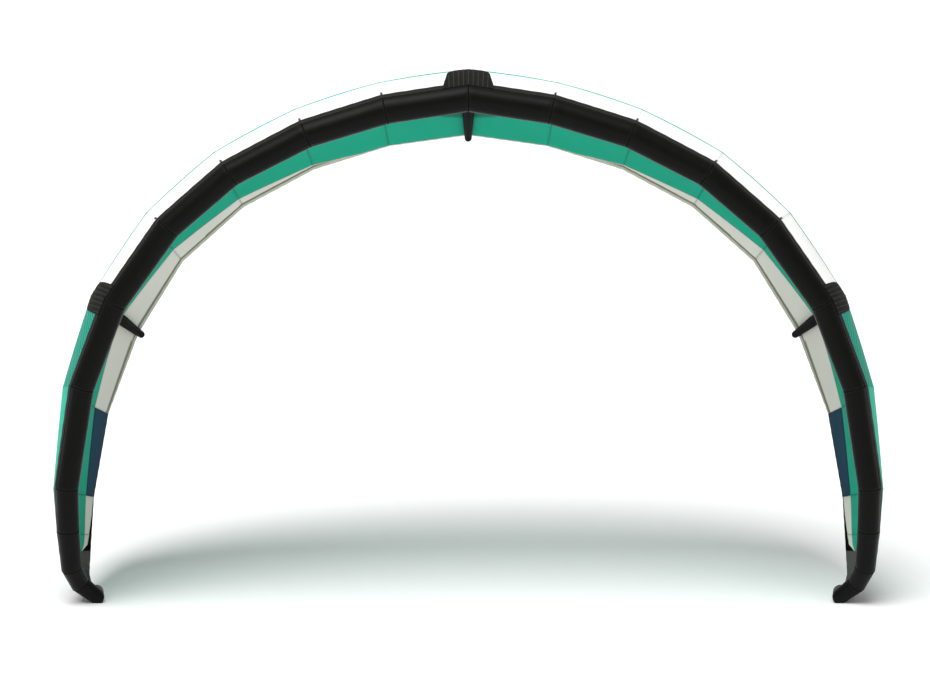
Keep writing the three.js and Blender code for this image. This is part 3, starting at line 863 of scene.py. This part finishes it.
@dataclass
class LeadingEdge:
    """The inflated tube of one half: straight lengths with mitred joints and a rounded end at the wing tip.

    At a joint the skin is drawn in by the pinch, swells a little beside it, and puckers inside the bend. The
    puckers start at another angle at each joint, by a turn in radians. The joint's places are millimetres
    from it. The tip's weave is laid out for one mean radius, tip_wrap.
    """

    side: Side
    cap_rings: int = 12
    pinch: float = 1.4 * MM
    pinch_reach: float = 5 * MM
    swelling: float = 0.35
    swelling_at: float = 26 * MM
    swelling_reach: float = 16 * MM
    pucker: float = 1.1 * MM
    pucker_waves: int = 16
    pucker_start: float = 3 * MM
    pucker_reach: float = 38 * MM
    pucker_outside: float = 0.2
    segment_turn: float = 2.1
    tip_turn: float = 1.7
    joint_places: tuple[float, ...] = (0, 2, 5, 9, 14, 20, 28, 38, 50, 65, 85)
    joint_share: float = 0.45
    ring_gap: float = 30 * MM
    tip_wrap: float = 50 * MM

    def build(self) -> list[bpy.types.Object]:
        """Makes all lengths of the tube.

        Returns:
            The pieces, from the middle out.
        """
        pieces = [self.segment(k) for k in range(TIP_TUBE)]
        pieces.append(self.tip())
        for number, piece in enumerate(pieces, 1):
            tidy_mesh(piece, closed=True)
            dress(piece, [f"{self.side.word}_leading_edge_{number}"], TUBE_SLEEVE.build())
        return pieces

    def creased(
        self, points: Array, centres: Array, angles: Array, gap: Array, turn: Array | float
    ) -> Array:
        """Draws the skin in at a joint and puckers it on the inside of the bend.

        Args:
            points: Points of the skin.
            centres: The tube's middle at each point.
            angles: Each point's angle in front of the top.
            gap: How far each point is from the nearest joint.
            turn: Where the puckers start round the tube.

        Returns:
            The points, moved.
        """
        beside = np.exp(-(((gap - self.swelling_at) / self.swelling_reach) ** 2))
        drawn = self.pinch * (np.exp(-gap / self.pinch_reach) - self.swelling * beside)
        inside = np.clip(-np.cos(angles), 0, 1)
        waves = np.sin(self.pucker_waves * angles + turn) * np.exp(-gap / self.pucker_reach)
        size = self.pucker * (self.pucker_outside + (1 - self.pucker_outside) * inside)
        fold = size * waves * (1 - np.exp(-gap / self.pucker_start))
        return points + unit(points - centres) * (fold - drawn)[..., None]

    def stations_along(self, length: float) -> Array:
        """Places along a length of tube, closer together near the joints.

        Args:
            length: The tube's length in metres.

        Returns:
            Places from 0 to length.
        """
        near = np.array(self.joint_places) * MM
        near = near[near < self.joint_share * length]
        middle = length - 2 * near[-1]
        inner = np.linspace(near[-1], length - near[-1], max(3, round(middle / self.ring_gap)))
        return np.unique(np.round(np.concatenate([near, inner, length - near]), 6))

    def segment(self, joint: int) -> bpy.types.Object:
        """One straight length between two joints.

        Args:
            joint: The number of the joint where it starts.

        Returns:
            The piece.
        """
        run, start = SHAPE.runs[joint], SHAPE.centres[joint]
        length = float(np.linalg.norm(SHAPE.centres[joint + 1] - start))
        along = self.stations_along(length)
        angles = np.linspace(0, 2 * math.pi, TUBE_SIDES + 1)
        ends = [SHAPE.skin(joint, run, angles), SHAPE.skin(joint + 1, run, angles)]
        radius = float(SHAPE.radii[joint : joint + 2].mean())

        def place(column: Array, row: Array) -> tuple[Array, Array, dict[str, Array]]:
            """Where each point of the length lies."""
            share = (along[row] / length)[:, None]
            points = ends[0][column] * (1 - share) + ends[1][column] * share
            middle = start + ((points - start) @ run)[:, None] * run
            gap = np.minimum(along[row], length - along[row])
            turn = self.segment_turn * joint + (row > len(along) / 2)
            points = self.creased(points, middle, angles[column], gap, turn)
            uv = np.stack([radius * angles[column], along[row]], axis=1)
            sewn = radius * np.abs(angles[column] - math.radians(RIB_ROWS[joint][4]))
            return SHAPE.stand(points, self.side), uv, {"seam": np.minimum(gap, sewn)}

        name = f"leading_edge_tube_{joint + 1}_{self.side.word}"
        return grid_object(name, TUBE_SIDES, len(along) - 1, place)

    def tip(self) -> bpy.types.Object:
        """The last length, which bends in, rests on the floor and ends in a round cap.

        Returns:
            The piece.
        """
        angles = np.linspace(0, 2 * math.pi, TUBE_SIDES + 1)
        ring = SHAPE.skin(TIP_TUBE, SHAPE.runs[TIP_TUBE], angles)
        rings, gaps, gone, base = [ring], [0.0], [0.0], 0.0
        for joint in range(TIP_TUBE + 1, len(SHAPE.centres)):
            run, before = SHAPE.runs[joint - 1], SHAPE.centres[joint - 1]
            off = ring - before
            off = unit(off - (off @ run)[:, None] * run) * SHAPE.radii[joint]
            target = SHAPE.onto_miter(off + SHAPE.centres[joint], joint, run)
            length = float(np.linalg.norm(SHAPE.centres[joint] - before))
            for place in self.stations_along(length)[1:]:
                share = place / length
                points = ring * (1 - share) + target * share
                middle = before + ((points - before) @ run)[:, None] * run
                gap = min(place, length - place) if joint < len(SHAPE.centres) - 1 else place
                turn = self.tip_turn * joint
                rings.append(self.creased(points, middle, angles, np.full(len(angles), gap), turn))
                gaps.append(gap)
                gone.append(base + place)
            ring, base = target, base + length
        end, run, radius = SHAPE.centres[-1], SHAPE.runs[-1], float(SHAPE.radii[-1])
        for step in range(1, self.cap_rings + 1):
            angle = math.pi / 2 * step / self.cap_rings
            rings.append(end + (ring - end) * math.cos(angle) + radius * math.sin(angle) * run)
            gaps.append(NO_SEAM)
            gone.append(gone[-1] + radius * math.pi / 2 / self.cap_rings)
        stack, gap_row, length_row = np.array(rings), np.array(gaps), np.array(gone)

        def place_point(column: Array, row: Array) -> tuple[Array, Array, dict[str, Array]]:
            """Where each point of the last length lies."""
            uv = np.stack([self.tip_wrap * angles[column], length_row[row]], axis=1)
            return SHAPE.stand(stack[row, column], self.side), uv, {"seam": gap_row[row]}

        return grid_object(f"leading_edge_tip_{self.side.word}", TUBE_SIDES, len(rings) - 1, place_point)


@dataclass(frozen=True)
class PanelCut:
    """A panel of the cloth: its solid, its slot, its finish, and the stations and lines it lies between."""

    node: str
    slot: str
    finish: Finish
    start: float
    end: float
    front: Line
    back: Line
    stands_proud: float = 0.0
    underside: Finish | None = None


# Small waves of taut cloth: their share of the ripple, how soon they fade, their length, how far they wander
# and how often, for those beside the tube, beside the trailing edge and beside a rib.
RIPPLES = [
    (0.8, 95 * MM, 92 * MM, 1.4, 9),
    (0.5, 70 * MM, 74 * MM, 1.0, 7),
    (0.35, 26 * MM, 68 * MM, 1.2, 8),
]


@dataclass
class Canopy:
    """The cloth of one half, cut in panels that meet at sewn seams."""

    side: Side
    ripple: float = 1.3 * MM
    ripple_start: float = 14 * MM
    seam_lift: float = 0.5 * MM
    tape_lift: float = 0.3 * MM
    binding_lift: float = 0.4 * MM
    tick_length: float = 28 * MM
    tick_half_width: float = 3 * MM
    front_border: float = 20 * MM
    rear_border: float = 26 * MM
    full_gores: int = 7
    least_fill: float = 0.31
    sliver_fill: float = 0.34

    def cuts(self) -> list[PanelCut]:
        """The panels of one half, as they are cut.

        Returns:
            Their cuts.
        """
        proud, tape, end = self.binding_lift, self.tape_lift, trailing_edge
        rows = [
            PanelCut("front_white", "white_ripstop", WHITE_RIPSTOP, 0, 5, flange_line, front_line),
            PanelCut("front_hatched", "hatched_ripstop", HATCHED_RIPSTOP, 5, 6, flange_line, front_line),
            PanelCut("front_bright", "bright_ripstop", BRIGHT_RIPSTOP, 6, 7, flange_line, front_line),
            PanelCut("canopy_8", "teal_ripstop", TEAL_RIPSTOP, 7, TIP_START, flange_line, rear_line),
            PanelCut("rear_cream", "cream_ripstop", CREAM_RIPSTOP, REAR_START, 6, rear_line, band_line),
            PanelCut("rear_navy", "navy_ripstop", NAVY_RIPSTOP, 6, 7, rear_line, tip_band_line),
            PanelCut("rear_tip", "cream_ripstop", CREAM_RIPSTOP, 7, TIP_START, rear_line, tip_band_line),
            PanelCut("tip", "black_tip_cloth", BLACK_RIPSTOP, TIP_START, LAST_RIB, seam_line, end),
            PanelCut("band", "khaki_binding", KHAKI_BINDING, 0, TIP_BAND, band_line, end, proud),
            PanelCut(
                "band_tip", "black_tip_cloth", BLACK_BINDING, TIP_BAND, TIP_START, tip_band_line, end, proud
            ),
            PanelCut("flange", "flange_tape", FLANGE_TAPE, 0, TIP_START, seam_line, flange_line, tape),
        ]
        for gore in range(self.full_gores):
            name, ends = f"canopy_{gore + 1}", (gore, gore + 1, front_line, rear_line)
            underside = None if gore else TEAL_UNDERSIDE
            rows.append(PanelCut(name, "teal_ripstop", TEAL_RIPSTOP, *ends, underside=underside))
        return rows

    def build(self) -> list[bpy.types.Object]:
        """Makes all panels of the half.

        Returns:
            The pieces.
        """
        return [self.panel(cut) for cut in self.cuts()]

    def columns(self, cut: PanelCut) -> Array:
        """The stations of a panel's points, close together beside each rib's seam.

        Args:
            cut: How the panel is cut.

        Returns:
            The stations, from its start to its end.
        """
        places = []
        for gore in range(int(cut.start), math.ceil(cut.end)):
            low, high = max(cut.start, gore), min(cut.end, gore + 1)
            width = float(SHAPE.gores[gore])
            places.extend(low + spaced((high - low) * width) / width)
        extra = [place for place, _ in REAR_WIDTHS + TIP_BAND_WIDTHS if cut.start < place < cut.end]
        return np.unique(np.round(np.concatenate([places, extra]), 5))

    def panel(self, cut: PanelCut) -> bpy.types.Object:
        """Makes one panel, with its seam allowance, its ripples and its thickness.

        Args:
            cut: How it is cut.

        Returns:
            The piece.
        """
        stations = self.columns(cut)
        lengths = SHAPE.length(stations)
        fronts, backs = cut.front(stations), cut.back(stations)
        depths = backs - fronts
        cells = max(1, round(float(depths.max()) / CELL))
        scale = np.minimum(1, depths / NARROW)
        first = PAST_SEAM * scale
        rows = [mark * scale for mark in SEAM_MARKS]
        rows += [first + (depths - 2 * first) * part for part in np.linspace(0, 1, cells + 1)]
        rows += [depths - mark * scale for mark in SEAM_MARKS[::-1]]
        offsets = np.array(rows)
        ribs = np.abs(stations - np.rint(stations))
        gore = SHAPE.gores[np.minimum(np.rint(stations - 0.5).astype(int), LAST_RIB - 1)]
        rib_gap = ribs * gore
        for edge in (cut.start, cut.end):
            rib_gap = np.minimum(rib_gap, np.abs(stations - edge) * gore)
        spans = np.interp(stations, np.arange(LAST_RIB + 1), np.concatenate([[0], np.cumsum(SHAPE.gores)]))

        def place(column: Array, row: Array) -> tuple[Array, Array, dict[str, Array]]:
            """Where each point of the panel lies."""
            offset = offsets[row, column]
            station, length = stations[column], lengths[column]
            distance = fronts[column] + offset
            share = distance / length
            seam = np.minimum(rib_gap[column], np.minimum(offset, depths[column] - offset))
            lift = cut.stands_proud + np.where(seam < LIFTED, self.seam_lift, 0.0)
            lift = lift + self.ripples(spans[column], distance, length, rib_gap[column])
            points = SHAPE.cloth(station, share) + SHAPE.normal(station, share) * lift[:, None]
            values = self.marks(cut, station, offset, depths[column] - offset, rib_gap[column])
            uv = np.stack([spans[column], distance], axis=1)
            return SHAPE.stand(points, self.side), uv, {"seam": seam} | values

        piece = grid_object(f"{cut.node}_cloth_{self.side.word}", len(stations) - 1, len(offsets) - 1, place)
        tidy_mesh(piece, closed=False, flip=self.side is Side.LEFT)
        area = sum(face.area for face in piece.data.polygons)
        thick = piece.modifiers.new("thickness", "SOLIDIFY")
        thick.thickness = CLOTH
        thick.offset = 0
        dress(piece, [f"{self.side.word}_{cut.node}"], cut.finish.build())
        if cut.underside:
            piece.data.materials.append(cut.underside.build())
            thick.material_offset = 1
        width = float(spans[-1] - spans[0])
        self.declare(width, float(depths.max()), area)
        return piece

    def marks(
        self, cut: PanelCut, station: Array, offset: Array, rest: Array, rib_gap: Array
    ) -> dict[str, Array]:
        """Values for the finishes: dark tape ends, a tinted rear border and shade at the middle strut.

        Args:
            cut: The panel.
            station: Each point's station.
            offset: Its distance from the panel's front border.
            rest: Its distance from the panel's rear border.
            rib_gap: Its distance from the nearest rib.

        Returns:
            Values from 0 to 1.
        """
        if cut.node == "front_white":
            # The tape ends lie on ribs 1 to 4, and the border's tint fades from station 2.4 to 4.4
            inside = (station > 0.5) & (station < 4.5)
            tick = inside & (rib_gap < self.tick_half_width) & (offset < self.tick_length)
            border = (rest < self.front_border) * np.clip((4.4 - station) / 2, 0, 1)
            return {"tick": tick.astype(float), "trim": border}
        if cut.node == "rear_cream":
            # The border's tint sets in from station 1.6 to 2
            return {"trim": (rest < self.rear_border) * np.clip((station - 1.6) / 0.4, 0, 1)}
        if cut.node == "canopy_1":
            # The shaded cloth is 252 mm long at the strut and 327 mm at station 0.4, where it fades out
            reach = (252 + 75 * station / 0.4) * MM
            side = np.clip((0.42 - station) / 0.12, 0, 1)
            return {"shade": side * np.clip((rest + BAND_WIDTH(station) - reach) / (14 * MM), 0, 1)}
        return {}

    def declare(self, width: float, depth: float, area: float) -> None:
        """Works out a panel's width as no less than its area over its depth, and does not keep it. A
        sliver that would fill less than about a third of its rectangle is given as a shorter rectangle,
        which it fills to about a third.

        Args:
            width: How far it reaches across the kite.
            depth: How far it reaches from front to back.
            area: Its area in square metres.
        """
        width = max(width, area / depth)

    def ripples(self, span: Array, distance: Array, length: Array, rib_gap: Array) -> Array:
        """Small waves that taut cloth has where it is sewn to the tube, to the ribs and to the binding.

        Args:
            span: Each point's distance across the kite.
            distance: Its distance from the leading edge.
            length: The cloth's length there.
            rib_gap: Its distance from the nearest rib.

        Returns:
            How far each point is lifted.
        """
        lift = np.zeros_like(distance)
        ways = [(distance, span), (length - distance, span), (rib_gap, distance)]
        for (strength, fade, wave, wander, turn), (off, along) in zip(RIPPLES, ways):
            angle = 2 * math.pi * along / wave + wander * np.sin(along * turn)
            lift = lift + strength * np.exp(-off / fade) * np.sin(angle)
        return self.ripple * np.clip(distance / self.ripple_start, 0, 1) * lift


@dataclass
class Strut:
    """An inflated strut under a rib, from the leading edge to just past the trailing edge.

    Its front end is searched for along the rib, in steps, and is cut to the tube's skin. Its weave is laid
    out for one mean radius, wrap times the rear end's.
    """

    name: str
    node: str
    rib: int
    side: Side
    diameters: tuple[float, float, float]
    diameter_shares: tuple[float, float, float] = (0, 0.78, 1)
    end_share: float = 0.995
    drop: float = 42 * MM
    drop_share: float = 0.2
    clearance: float = 1.6 * MM
    tube_gap: float = 0.5 * MM
    search_start: float = 0.02
    search_step: float = 0.002
    neck_share: float = 0.03
    rings_along: int = 110
    cap_rings: int = 8
    wrap: float = 1.4
    pole: float = 0.0001 * MM

    def diameter(self, share: Array) -> Array:
        """The strut's diameter along it."""
        return np.interp(share, self.diameter_shares, np.array(self.diameters) * MM)

    def run_before(self) -> Array:
        """The way the tube runs on the near side of the rib. At the middle rib that is the other half's."""
        return SHAPE.runs[self.rib - 1] if self.rib else SHAPE.runs[0] * [1, -1, -1]

    def axis(self, share: Array) -> Array:
        """The strut's middle line, which drops away from the cloth near the tube.

        Args:
            share: From 0 at the leading edge to 1 at the trailing edge.

        Returns:
            A point for each share.
        """
        share = np.asarray(share, float)
        bend = math.acos(float(np.clip(self.run_before().dot(SHAPE.runs[self.rib]), -1, 1)))
        drop = self.drop * np.clip(1 - share / self.drop_share, 0, None) ** 2
        below = (self.diameter(share) / 2 + self.clearance) / math.cos(bend / 2) + drop
        return SHAPE.cloth(self.rib, share) - SHAPE.normal(self.rib, share) * below[..., None]

    def run(self, share: float) -> Array:
        """The way the strut runs at a place along it."""
        return unit(self.axis(min(share + SHARE_STEP, 1)) - self.axis(share - SHARE_STEP))

    def ring(self, centre: Array, run: Array, radius: float) -> Array:
        """A ring of points round the strut's middle line.

        Args:
            centre: The ring's middle.
            run: The way the strut runs there.
            radius: The ring's radius.

        Returns:
            The points.
        """
        across = SHAPE.miters[self.rib]
        side = unit(across - across.dot(run) * run)
        up = np.cross(run, side)
        angles = np.linspace(0, 2 * math.pi, STRUT_SIDES + 1)[:, None]
        return centre + radius * (side * np.cos(angles) + up * np.sin(angles))

    def onto_tube(self, ring: Array, way: Array) -> Array:
        """The ring's points slid forward until they lie on the leading edge's skin.

        Args:
            ring: The points.
            way: The way forward.

        Returns:
            The points, moved.
        """
        centre, radius = SHAPE.centres[self.rib], SHAPE.radii[self.rib] + self.tube_gap
        moved = ring.copy()
        for index, point in enumerate(ring):
            off = point - centre
            run = SHAPE.runs[self.rib] if off.dot(SHAPE.miters[self.rib]) >= 0 else self.run_before()
            flat_way = way - way.dot(run) * run
            flat_off = off - off.dot(run) * run
            # Where the line forward meets the tube's round skin, or passes nearest to it
            a, b, c = flat_way.dot(flat_way), 2 * flat_way.dot(flat_off), flat_off.dot(flat_off) - radius**2
            root = b * b - 4 * a * c
            reach = (-b - math.sqrt(root)) / (2 * a) if root > 0 else -b / (2 * a)
            moved[index] = point + way * reach
        return moved

    def build(self) -> bpy.types.Object:
        """Makes the strut.

        Returns:
            The piece.
        """
        first = self.search_start
        tube, outside = SHAPE.centres[self.rib], SHAPE.radii[self.rib]
        while np.linalg.norm((self.axis(first) - tube)[1:]) < outside + self.diameter(first) / 4:
            first += self.search_step
        inner = np.linspace(first + self.neck_share, self.end_share, self.rings_along)
        shares = np.concatenate([[first], inner])
        radii = [float(self.diameter(share)) / 2 for share in shares]
        rings = [self.ring(self.axis(at), self.run(at), radius) for at, radius in zip(shares, radii)]
        rings[0] = self.onto_tube(rings[0], -self.run(first))
        centre = self.axis(self.end_share)
        run = unit(centre - self.axis(self.end_share - SHARE_STEP))
        radius = float(self.diameter(1.0)) / 2
        for step in range(1, self.cap_rings + 1):
            angle = math.pi / 2 * step / self.cap_rings
            centre_here = centre + radius * math.sin(angle) * run
            rings.append(self.ring(centre_here, run, max(radius * math.cos(angle), self.pole)))
        stack = np.array(rings)
        gone = np.concatenate([[0], np.cumsum(np.linalg.norm(np.diff(stack.mean(axis=1), axis=0), axis=1))])
        total = gone[len(shares) - 1]
        angles = np.linspace(0, 2 * math.pi, STRUT_SIDES + 1)

        def place(column: Array, row: Array) -> tuple[Array, Array, dict[str, Array]]:
            """Where each point of the strut lies."""
            seam = np.minimum(gone[row], np.abs(gone[row] - total))
            uv = np.stack([radius * self.wrap * angles[column], gone[row]], axis=1)
            return SHAPE.stand(stack[row, column], self.side), uv, {"seam": seam}

        piece = grid_object(self.name, STRUT_SIDES, len(rings) - 1, place)
        tidy_mesh(piece, closed=True)
        dress(piece, [self.node], STRUT_SLEEVE.build())
        return piece


@dataclass
class StrutPatch:
    """A ribbed patch on top of the cloth, over the front end of a strut.

    The profile's and the end rows' places are millimetres, across a rib and from the rear end. The flat cut
    is a little longer than the patch, by the factor ease.
    """

    name: str
    node: str
    rib: int
    side: Side
    outline: Sequence[Sequence[float]]
    lift: float = 2.4 * MM
    ridge: float = 1.6 * MM
    ridge_half_width: float = 3 * MM
    ridge_profile: tuple[float, ...] = (-3.2, -2.0, -0.8, 0.8, 2.0, 3.2)
    thickness: float = 1.6 * MM
    border: float = 12 * MM
    smoothing: float = 22 * MM
    samples: int = 9
    round_end: float = 30 * MM
    blunt: float = 0.25
    rows: int = 56
    end_rows: tuple[float, ...] = (2, 5, 10, 16)
    ease: float = 1.02

    def reach(self, distance: Array) -> Array:
        """How far the patch reaches to either side, with its corners rounded.

        Args:
            distance: Distances from the tube.

        Returns:
            Half of the patch's width at each.
        """
        distance = np.asarray(distance)
        places, widths = np.array(self.outline, float).T * MM
        window = np.linspace(-self.smoothing, self.smoothing, self.samples)
        spread = np.interp(distance[..., None] + window, places, widths)
        past = ((distance - places[-1] + self.round_end) / self.round_end).clip(0, 1)
        closing = np.sqrt(np.clip(1 - past**2, 0, 1))
        return spread.mean(axis=-1) * (self.blunt + (1 - self.blunt) * closing)

    def build(self) -> bpy.types.Object:
        """Makes the patch.

        Returns:
            The piece.
        """
        widest, end = max(w for _, w in self.outline) * MM, self.outline[-1][0] * MM
        ribs = int(widest / RIB_PITCH)
        profile = np.array(self.ridge_profile) * MM
        ridges = [rib * RIB_PITCH + place for rib in range(-ribs, ribs + 1) for place in profile]
        between = [(rib + 0.5) * RIB_PITCH for rib in range(-ribs - 1, ribs + 1)]
        offsets = np.unique(np.round(np.clip(ridges + between + [-widest, widest], -widest, widest), 6))
        evenly = np.linspace(0, end, self.rows)
        distances = np.unique(np.concatenate([evenly, end - np.array(self.end_rows) * MM]))
        reach = self.reach(distances)
        length = float(SHAPE.lengths[self.rib])

        def place(column: Array, row: Array) -> tuple[Array, Array, dict[str, Array]]:
            """Where each point of the patch lies."""
            across = np.clip(offsets[column], -reach[row], reach[row])
            inner = np.where(across < 0, self.rib - 1, self.rib).clip(0)
            station = self.rib + across / SHAPE.gores[inner]
            share = distances[row] / length
            seam = np.minimum(reach[row] - np.abs(across), end - distances[row])
            off = np.abs((across / RIB_PITCH + 0.5) % 1 - 0.5) * RIB_PITCH
            round_top = np.clip(1 - (off / self.ridge_half_width) ** 2, 0, 1)
            height = self.lift + self.ridge * round_top * (seam > self.border)
            points = SHAPE.cloth(station, share) + SHAPE.normal(station, share) * height[:, None]
            uv = np.stack([across, distances[row]], axis=1)
            return SHAPE.stand(points, self.side), uv, {"seam": seam}

        piece = grid_object(self.name, len(offsets) - 1, len(distances) - 1, place)
        tidy_mesh(piece, closed=False, flip=self.side is Side.LEFT)
        area = sum(face.area for face in piece.data.polygons)
        thick = piece.modifiers.new("thickness", "SOLIDIFY")
        thick.thickness = self.thickness
        thick.offset = 0
        dress(piece, [self.node], PATCH_CLOTH.build())
        flat = (2 * widest, end * self.ease)
        area = min(area, flat[0] * flat[1])
        return piece


@dataclass
class Studio:
    """The camera, the lights, the world and the pale floor."""

    distance: float = 30.0
    above_horizon: float = math.radians(11.5)
    looks_at: tuple[float, float, float] = (-0.0195, -1.0008, 1.6448)
    focal_pixels: float = 5190.0
    frame_width: float = 930.0
    sensor_width: float = 36.0
    sight: float = 200.0
    surround: float = 0.45
    overhead: float = 3.1
    softness: float = math.radians(46)
    light_way: tuple[float, float, float] = (0.22, 0.3, -1.0)
    light_at: tuple[float, float, float] = (-2.0, -3.0, 10.0)
    floor_half_width: float = 60.0
    floor_colour: str = "#f7f7f7"
    floor_roughness: float = 0.9

    def build(self) -> None:
        """Makes all of them."""
        self.camera()
        self.lights()
        self.floor()

    def camera(self) -> None:
        """The camera at the photograph's angle."""
        data = bpy.data.cameras.new("camera")
        data.sensor_width = self.sensor_width
        data.lens = self.focal_pixels / self.frame_width * self.sensor_width
        data.clip_end = self.sight
        camera = bpy.data.objects.new("camera", data)
        back = Vector((0, -math.cos(self.above_horizon), math.sin(self.above_horizon)))
        camera.location = Vector(self.looks_at) + self.distance * back
        camera.rotation_euler = (math.pi / 2 - self.above_horizon, 0, 0)
        bpy.context.scene.collection.objects.link(camera)
        bpy.context.scene.camera = camera

    def lights(self) -> None:
        """A large soft light overhead, a little in front and to the left, and an even white surround."""
        scene = bpy.context.scene
        scene.view_settings.view_transform = "Standard"
        world = bpy.data.worlds.new("surround")
        world.use_nodes = True
        background = world.node_tree.nodes["Background"]
        background.inputs["Color"].default_value = (1, 1, 1, 1)
        background.inputs["Strength"].default_value = self.surround
        scene.world = world
        data = bpy.data.lights.new("overhead_light", "SUN")
        data.energy = self.overhead
        data.angle = self.softness
        light = bpy.data.objects.new("overhead_light", data)
        light.location = self.light_at
        light.rotation_euler = Vector(self.light_way).to_track_quat("-Z", "Y").to_euler()
        scene.collection.objects.link(light)

    def floor(self) -> None:
        """A wide pale floor."""
        bm = bmesh.new()
        bmesh.ops.create_grid(bm, x_segments=1, y_segments=1, size=self.floor_half_width)
        mesh = bpy.data.meshes.new("studio_floor")
        bm.to_mesh(mesh)
        bm.free()
        floor = bpy.data.objects.new("studio_floor", mesh)
        material = bpy.data.materials.new("pale_studio_floor")
        material.use_nodes = True
        shader = material.node_tree.nodes["Principled BSDF"]
        shader.inputs["Base Color"].default_value = linear(self.floor_colour)
        shader.inputs["Roughness"].default_value = self.floor_roughness
        mesh.materials.append(material)
        bpy.context.scene.collection.objects.link(floor)


# A strut's name, its rib, its diameters, and its patch's outline as [distance from the tube, half width]
STRUT_ROWS = [
    ("centre", 0, (74, 70, 43), [[0, 146], [160, 124], [280, 114], [350, 97], [410, 66], [445, 30]]),
    ("outer", 5, (70, 66, 43), [[0, 98], [200, 90], [310, 80], [360, 62], [395, 40], [415, 16]]),
]


def main() -> None:
    """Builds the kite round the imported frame, then the studio."""
    logging.basicConfig(level=logging.INFO, format="%(name)s %(message)s")
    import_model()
    Studio().build()
    for side in Side:
        LeadingEdge(side).build()
        Canopy(side).build()
    for word, rib, diameters, outline in STRUT_ROWS:
        for side in Side if rib else [Side.RIGHT]:
            node = f"{side.word}_{word}" if rib else word
            suffix = f"_{side.word}" if rib else ""
            Strut(f"{word}_strut_sleeve{suffix}", f"{node}_strut", rib, side, diameters).build()
            StrutPatch(f"{word}_ribbed_patch{suffix}", f"{node}_patch", rib, side, outline).build()
    bpy.context.view_layer.update()


if __name__ == "__main__":
    main()
